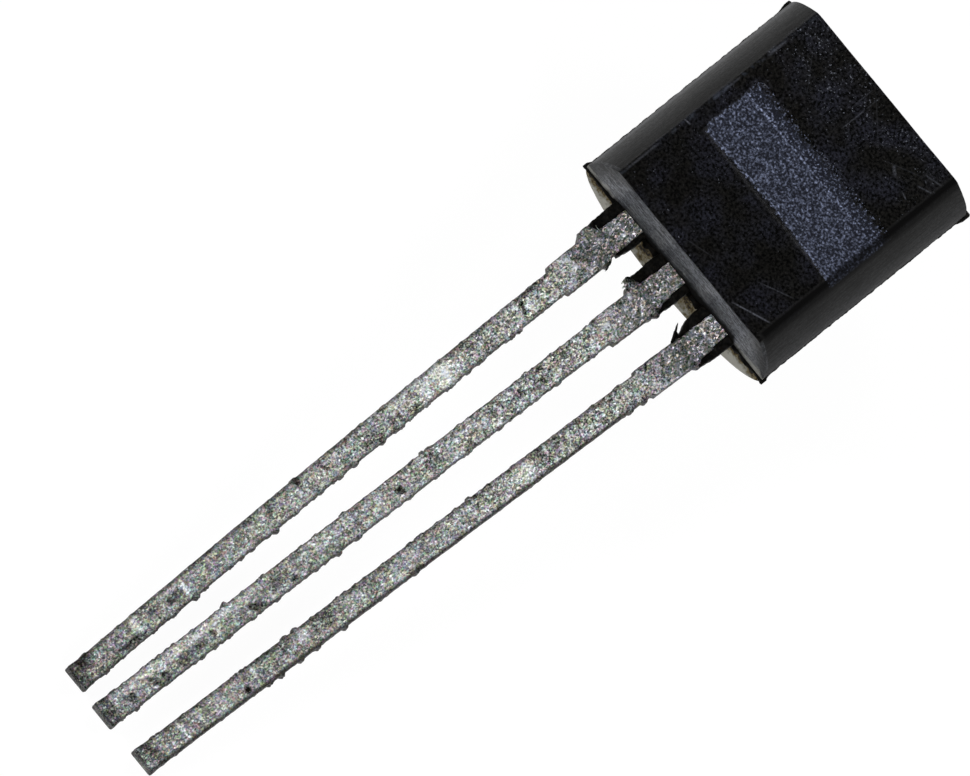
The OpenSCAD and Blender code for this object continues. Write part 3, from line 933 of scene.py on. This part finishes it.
def build_lead(name, material):
    """One lead: a stamped strip with sheared edges, dam-bar stubs, tin beads and a cut tip."""
    lead = LEADS[name]
    length = LEAD_LEN - lead["short"]
    ring = rounded_box(LEAD_W / 2, LEAD_TOP, LEAD_CORNER_R, 0.028)
    reach = length + LEAD_ROOT
    steps = round(reach / LEAD_STEP)
    levels = [-LEAD_ROOT + reach * min(step, steps) / steps for step in range(steps + 2)]
    plain = [[plain_half(lead, which, down) for down in levels] for which in (0, 1)]
    edges = zip(lead["stub"], lead_beads(lead, length))
    extra = [[edge_reach(stub, beads, down) for down in levels] for stub, beads in edges]

    def place(turn, step):
        u, v = ring[turn].x / (LEAD_W / 2), ring[turn].y / LEAD_TOP
        down = levels[step]
        pinch = 1 if step < steps else 0.95 if step == steps else 0.5
        which = 1 if u > 0 else 0
        knobs = lead["knobs"][which]
        half, out = plain[which][step], extra[which][step]
        wave = knobs * rough(down, which * 3 + v, 0.4, 0.07) + 0.008 * rough(down, which * 7, v, 0.4)
        x = u * (half + wave) + math.copysign(out * smooth(abs(u), EDGE_PART, 1), u)
        z = v * LEAD_TOP * (1 - 0.35 * smooth(out, 0.02, 0.1) * smooth(abs(u), EDGE_PART, 1))
        if abs(v) > 0.9:
            z -= math.copysign(0.004 * (1 + rough(x, down, lead["seed"], 0.05)), v)
            z -= math.copysign(0.008 * max(0, rough(x, down, lead["seed"] + 9, 0.3)), v)
        return Vector((lead_centre(lead, down) + x * pinch, -down, z * pinch))

    mesh = bmesh.new()
    loft(mesh, len(ring), steps + 2, place)

    # What the finish needs to know of a place on the lead: its distance from the middle as a
    # share of the half width, its distance in millimetres, and the tone of the marks on it
    share = mesh.verts.layers.float.new("edge_share")
    across = mesh.verts.layers.float.new("across")
    tone = mesh.verts.layers.float.new("tone")
    for vert in mesh.verts:
        x, y, z = vert.co
        side = x - lead_centre(lead, -y)
        which = 1 if side > 0 else 0
        step = min(steps, max(0, round((LEAD_ROOT - y) / reach * steps)))
        vert[share] = abs(side) / (plain[which][step] + extra[which][step])
        vert[across] = side + ROW_CODE * lead["row"]
        marks = [mark_at(x, y, *mark) for mark in lead["marks"]] if z > 0 else []
        vert[tone] = sum(strength for strength, _ in marks)
        vert[tone] -= 0.5 * smooth(-y, length - LEAD_STEP, length)
        vert.co.z = z - max((dent for _, dent in marks), default=0)

    shell = embedded_part(name)
    mesh.from_mesh(shell)
    bpy.data.meshes.remove(shell)
    return finish_piece(name + "_tinned", mesh, material, [name])


# Torn resin beside each lead, on its left and its right: how far down it runs below the
# moulding, how far it stands out of the lead at the top and at the end, and how far it laps
# over the lead's face at the top; then its rings, and where its front and back lie
RESIN_STRIPS = {
    "emitter_lead": ((0.7, 0.225, 0.2, 0.005), (0.66, 0.1, 0.05, 0.005)),
    "collector_lead": ((0.74, 0.22, 0.2, 0.03), (0.8, 0.13, 0.11, 0.035)),
    "base_lead": ((0.8, 0.21, 0.05, 0.005), (0.82, 0.15, 0.1, 0.045)),
}
SCRAP_RINGS = 26
SCRAP_FRONT = 0.13
SCRAP_BACK = -0.15
# Whiskers of torn resin and metal: points as (x, y, z) and the thickness at the root
RESIN_WHISKERS = [
    ([(1.0, -0.92, 0.05), (0.88, -0.76, 0.1), (0.79, -0.64, 0.12), (0.74, -0.57, 0.14)], 0.09),
    ([(1.0, -0.78, 0.05), (0.88, -0.7, 0.1), (0.8, -0.68, 0.12)], 0.07),
    ([(-0.86, -0.88, 0.05), (-0.82, -0.95, 0.05), (-0.81, -1.0, 0.05)], 0.045),
]
TIN_WHISKERS = [
    ([(-1.4, -0.62, 0.2), (-1.5, -0.64, 0.22), (-1.58, -0.62, 0.2)], 0.05),
    ([(-0.36, -0.8, 0.05), (-0.38, -0.9, 0.05), (-0.38, -0.96, 0.05)], 0.07),
    ([(-0.46, -0.76, 0.05), (-0.46, -0.86, 0.05), (-0.45, -0.92, 0.05)], 0.06),
]


def build_resin_scraps(material):
    """The resin that filled the space up to the dam bar, torn off beside each lead."""
    mesh = bmesh.new()
    for name, strips in RESIN_STRIPS.items():
        lead = LEADS[name]
        for side, (end, top_out, end_out, lap) in zip((-1, 1), strips):
            ring = rounded_box(0.5, 0.5, 0.12, 0.1)

            def place(turn, step):
                u, v = ring[turn].x + 0.5, ring[turn].y + 0.5
                down = -0.05 + (end + 0.05) * step / (SCRAP_RINGS - 1)
                fade = smooth(down, 0.25, end)
                lapped = smooth(down, 0.42, 0.36)
                inner = NECK_W / 2 - 0.05 + (0.05 - lap) * lapped
                outer = NECK_W / 2 + top_out + (end_out - top_out) * fade
                outer += 0.022 * rough(down, side, lead["row"], 0.09)
                front = SCRAP_FRONT + 0.07 * lapped * (1 - u) + 0.02 * rough(down, u, v + side, 0.1)
                back = SCRAP_BACK + 0.02 * rough(down, u, v - side, 0.1)
                if step in (0, SCRAP_RINGS - 1):
                    front, back, outer = front - 0.05, back + 0.05, outer - 0.03
                x = side * (inner + (outer - inner) * u)
                return Vector((lead_centre(lead, 0) + x, -down, back + (front - back) * v))

            loft(mesh, len(ring), SCRAP_RINGS, place)
    add_whiskers(mesh, RESIN_WHISKERS)
    return finish_piece("resin_scraps", mesh, material)


def add_whiskers(mesh, whiskers):
    """Adds a bent and tapering hair for each whisker."""
    for points, thick in whiskers:
        spine = [Vector(point) for point in points]
        count = 4 * (len(spine) - 1) + 1

        def place(turn, step):
            at = (len(spine) - 1) * step / (count - 1)
            start = min(int(at), len(spine) - 2)
            spot = spine[start].lerp(spine[start + 1], at - start)
            size = thick / 2 * (1.1 - at / (len(spine) - 1))
            angle = 2 * math.pi * turn / THIN_RING
            wave = 1 + 0.3 * rough(spot.x, spot.y, angle, 0.05)
            out = Vector((math.cos(angle), 0.3 * math.cos(angle), math.sin(angle)))
            return spot + size * wave * out

        loft(mesh, THIN_RING, count, place)


def build_torn_tin(material):
    """The slivers of metal that the dam-bar punch tore out beside the stubs."""
    mesh = bmesh.new()
    add_whiskers(mesh, TIN_WHISKERS)
    return finish_piece("torn_tin", mesh, material)


# ---- metals and what the moulding holds ----

# A crystal of the tin across the leads, along them and out of them; then the noises in it:
# the size of their lumps in millimetres, their detail and roughness, and how far they swing
CRYSTAL = (0.03, 0.042, 0.03)
TIN_NOISES = {
    "grain": (0.035, 2.0, 0.6, 0.2),
    "blotch": (0.35, 4.0, 0.5, 0.07),
    "lumps": (0.12, 2.0, 0.5, 0.08),
}
TIN_TONES = [(0, "#1d1b19"), (0.3, "#646564"), (0.5, "#989997"), (0.72, "#cbccca"), (1, "#ffffff")]
# Dark lines of painted shade in the grooves that the stamping tool drew along two of the leads: the
# lead's place in the row, the distance from its middle, and from where to where below the moulding
GROOVES = [(0, -0.175, 2.9, 8.4), (1, -0.18, 7.5, 9.7)]
# Painted shade along the sides of each lead: the place in the row, then for the left and the right edge
# how far from the middle the shade begins, over what width it darkens and how dark it is
SHADED_LEAD_SIDES = [
    (-1, (-0.155, -0.04, 0.55), (0.18, 0.05, 0.4)),
    (0, (-0.19, -0.04, 0.35), (0.19, 0.05, 0.35)),
    (1, (-0.155, -0.04, 0.5), (0.165, 0.05, 0.8)),
]


def sheared_and_shaded_metal(add, down, grain):
    """How much darker metal shows along the thin, sheared edges, with painted shade in the grooves and
    along the sides of each lead below its top."""
    share, across = (
        add("Attribute", attribute_name=name).outputs["Fac"] for name in ("edge_share", "across")
    )
    wave = add("Math MULTIPLY_ADD", grain, 0.1, share)
    sheared = add("MapRange", wave, 0.95, 1.05, 0, 0.7)
    for row, place, start, end in GROOVES:
        cut = stripe(add, across, ROW_CODE * row + place, 0.004, 0.026, 0.4)
        below = add("MapRange", down, -start, -start - 0.3, 0, 1)
        above = add("MapRange", down, -end, -end + 0.3, 0, 1)
        for limit in (below, above):
            cut = add("Math MULTIPLY", cut, limit)
        sheared = add("Math MAXIMUM", sheared, cut)
    # Painted shade towards both sides of each lead, below its top
    for row, *edges in SHADED_LEAD_SIDES:
        off = add("Math SUBTRACT", across, ROW_CODE * row)
        left, right = (
            add("MapRange", off, start, start + width, 0, dark) for start, width, dark in edges
        )
        side_shade = add("Math MAXIMUM", left, right)
        away = add("Math ABSOLUTE", off)
        own = add("Math LESS_THAN", away, 1)
        lower = add("MapRange", down, -1.8, -2.4, 0, 1)
        for limit in (own, lower):
            side_shade = add("Math MULTIPLY", side_shade, limit)
        sheared = add("Math MAXIMUM", sheared, side_shade)
    return sheared


def tin_plate():
    """Matt tin, plated on a copper-alloy strip and then dipped: a grainy grey metal whose
    crystals of 0.03 to 0.06 mm glint one by one, dark where the strip was sheared after."""
    material, shader, add = new_material("dipped_tin_plate")
    point = package_axes(add)
    down = add("SeparateXYZ", point).outputs[1]
    drawn = add("Mapping", {0: point, 3: [1 / size for size in CRYSTAL]})
    crystals = add("TexVoronoi", {"Vector": drawn, "Scale": 1.0, "Randomness": 1.0}).outputs["Color"]
    crystal = add("SeparateXYZ", crystals).outputs
    grain, blotch, lumps = (
        add("TexNoise", {"Vector": point, "Scale": 1 / size, "Detail": detail, "Roughness": roughness})
        for size, detail, roughness, swing in TIN_NOISES.values()
    )

    # How bright a spot is: its crystal, the grain between crystals, the blotches and marks
    near_top = add("MapRange", down, -2.4, -1.2, 0, 1)
    level = add("MapRange", crystal[0], 0, 1, -0.14, 0.16)
    level = add("Math MULTIPLY_ADD", near_top, 0.05, level)
    glint = add("MapRange", crystal[1], 0.8, 0.95, 0, 0.2)
    level = add("Math ADD", glint, level)
    for pattern, (*_, swing) in zip((grain, blotch, lumps), TIN_NOISES.values()):
        shade = add("MapRange", pattern, 0.35, 0.65, -swing, swing)
        level = add("Math ADD", level, shade)
    crisp = add("MapRange", down, -10, -1.5, 0.72, 1.25)
    level = add("Math MULTIPLY", level, crisp)
    tone = add("Attribute", attribute_name="tone").outputs["Fac"]
    level = add("Math MULTIPLY_ADD", tone, 0.4, level)
    deeper = add("MapRange", down, -13, -8.5, -0.05, 0)
    level = add("Math ADD", level, deeper)
    level = add("Math ADD", level, 0.5, use_clamp=True)
    ramp = add("ValToRGB", level)
    fill_ramp(ramp, TIN_TONES)
    hue = add("MixRGB", 0.24, ramp, crystals, blend_type="OVERLAY")
    tint = add("MapRange", lumps, 0.42, 0.58, 0, 1)
    cast = add("MixRGB", tint, "#fbfbf0", "#f4f8ff")
    hue = add("MixRGB", 1.0, hue, cast, blend_type="MULTIPLY")
    # Darker where sheared, and painted shade in the grooves and along the leads' sides
    plate = add("MixRGB", sheared_and_shaded_metal(add, down, grain), hue, "#262220")

    gloss = add("MapRange", grain, 0.3, 0.7, 0.65, 0.42)
    # Each crystal leans its own way, up to a quarter of a right angle
    relief = add("Bump", {"Strength": 0.8, "Distance": 0.014 * MM, "Height": grain})
    lean = add("VectorMath SUBTRACT", crystals, (0.5,) * 3)
    lean = add("VectorMath MULTIPLY_ADD", lean, (0.8,) * 3, relief)
    facet = add("VectorMath NORMALIZE", lean)
    feed(shader, {"Base Color": plate, "Metallic": 1, "Roughness": gloss, "Normal": facet})
    return material


def inner_finish(name, colour, tint, metallic, roughness, grain_size):
    """A finish for a piece inside the moulding: two tones in grains of a given size."""
    material, shader, add = new_material(name)
    grain = add("TexNoise", {"Vector": package_axes(add), "Scale": 1 / grain_size, "Detail": 3.0})
    tone = add("MixRGB", grain, colour, tint)
    shine = add("MapRange", grain, 0.3, 0.7, roughness, roughness * 1.4)
    relief = add("Bump", {"Strength": 0.3, "Distance": 0.002 * MM, "Height": grain})
    feed(shader, {"Base Color": tone, "Metallic": metallic, "Roughness": shine, "Normal": relief})
    return material


compound = epoxy_moulding_compound()
torn_resin = resin_flash()
tin = tin_plate()
build_moulding(compound)
build_flash(torn_resin)
build_resin_scraps(torn_resin)
build_torn_tin(tin)
for lead_name in LEADS:
    build_lead(lead_name, tin)

# Ground and polished silicon, silver-filled adhesive and drawn gold wire
INNER_FINISHES = {
    ("die",): inner_finish("ground_silicon", "#4c5158", "#6b727b", 0, 0.25, 0.03),
    ("die_attach",): inner_finish("silver_filled_epoxy", "#b9b9b2", "#d9d9d2", 1, 0.45, 0.02),
    ("emitter_wire", "base_wire"): inner_finish("drawn_gold_wire", "#d9a838", "#efc65c", 1, 0.2, 0.02),
}
for nodes, finish in INNER_FINISHES.items():
    for inner_node in nodes:
        data = frame["nodes"][inner_node].data
        data.materials.clear()
        data.materials.append(finish)

# ---- floor, light and camera ----

FLOOR_SIDE = 4
floor_mesh = bmesh.new()
bmesh.ops.create_grid(floor_mesh, x_segments=1, y_segments=1, size=FLOOR_SIDE / 2)
floor_data = bpy.data.meshes.new("floor")
floor_mesh.to_mesh(floor_data)
floor_mesh.free()
floor = bpy.data.objects.new("floor", floor_data)
bpy.context.scene.collection.objects.link(floor)

# White paper: a share of its white is its own glow, so the shadow on it stays faint
paper, shader, add = new_material("white_paper")
feed(shader, {"Base Color": "#f4f4f4", "Roughness": 0.9, "Specular IOR Level": 0})
rays = add("LightPath").outputs
bounced = add("Math ADD", rays["Is Glossy Ray"], rays["Is Transmission Ray"])
seen = add("Math MULTIPLY_ADD", bounced, 0.4, rays["Is Camera Ray"], use_clamp=True)
share = add("Math MULTIPLY", seen, 0.95)
glow = add("Emission", {"Color": (1, 1, 1, 1), "Strength": 1.02})
shown = add("MixShader", share, shader, glow)
feed(paper.node_tree.nodes["Material Output"], {"Surface": shown})
floor_data.materials.append(paper)

# A dim sky that is darkest overhead, where the camera and its hood would be
world = bpy.data.worlds.new("studio")
bpy.context.scene.world = world
world.use_nodes = True
add = partial(add_node, world.node_tree)
direction = add("TexCoord").outputs["Generated"]
height = add("SeparateXYZ", direction).outputs[2]
sky = add("MapRange", height, 0.1, 0.95, 0.6, 0.12)
feed(world.node_tree.nodes["Background"], {"Strength": sky})

# Soft boxes round the table: compass angle, height angle, side in metres and power in watts
LAMP_DISTANCE = 0.4
LAMPS = [(-60, 40, 0.12, 0.65), (60, 40, 0.12, 0.65), (150, 45, 0.12, 0.5), (-150, 45, 0.12, 0.5)]
for number, (compass, rise, side, power) in enumerate(LAMPS):
    lamp_data = bpy.data.lights.new(f"soft_box_{number}", "AREA")
    lamp_data.size = side
    lamp_data.energy = power
    lamp = bpy.data.objects.new(f"soft_box_{number}", lamp_data)
    bpy.context.scene.collection.objects.link(lamp)
    a, e = math.radians(compass), math.radians(rise)
    back = Vector((math.sin(a) * math.cos(e), -math.cos(a) * math.cos(e), math.sin(e)))
    lamp.location = back * LAMP_DISTANCE
    lamp.rotation_mode = "QUATERNION"
    lamp.rotation_quaternion = (-back).to_track_quat("-Z", "Y")

# The camera, in the package's axes: it looks at the flat face from a little to the right
# and from the side of the tips, and is rolled so that the leads run down to the left
YAW, TILT, ROLL = (math.radians(a) for a in (2.3, 16.01, -51.19))
AIM = Vector((0, -4, 0))
AIM_SHIFT = (-0.428, 0.337)
VIEW_WIDTH = 17.525
CAMERA_DISTANCE = 476

back = Vector((math.sin(YAW) * math.cos(TILT), -math.sin(TILT), math.cos(YAW) * math.cos(TILT)))
upright = (Vector((0, 1, 0)) - back * back.y).normalized()
level = upright.cross(back)
right = level * math.cos(ROLL) - upright * math.sin(ROLL)
up = level * math.sin(ROLL) + upright * math.cos(ROLL)
target = AIM + right * AIM_SHIFT[0] + up * AIM_SHIFT[1]

camera_data = bpy.data.cameras.new("camera")
camera_data.lens = camera_data.sensor_width * CAMERA_DISTANCE / VIEW_WIDTH
camera_data.clip_start = 0.01
camera = bpy.data.objects.new("camera", camera_data)
bpy.context.scene.collection.objects.link(camera)
stance = Matrix((right, up, back)).transposed()
camera.matrix_world = (TURNED @ stance).to_4x4()
camera.location = LAID @ (target + back * CAMERA_DISTANCE)
bpy.context.scene.camera = camera
bpy.context.scene.view_settings.view_transform = "Standard"
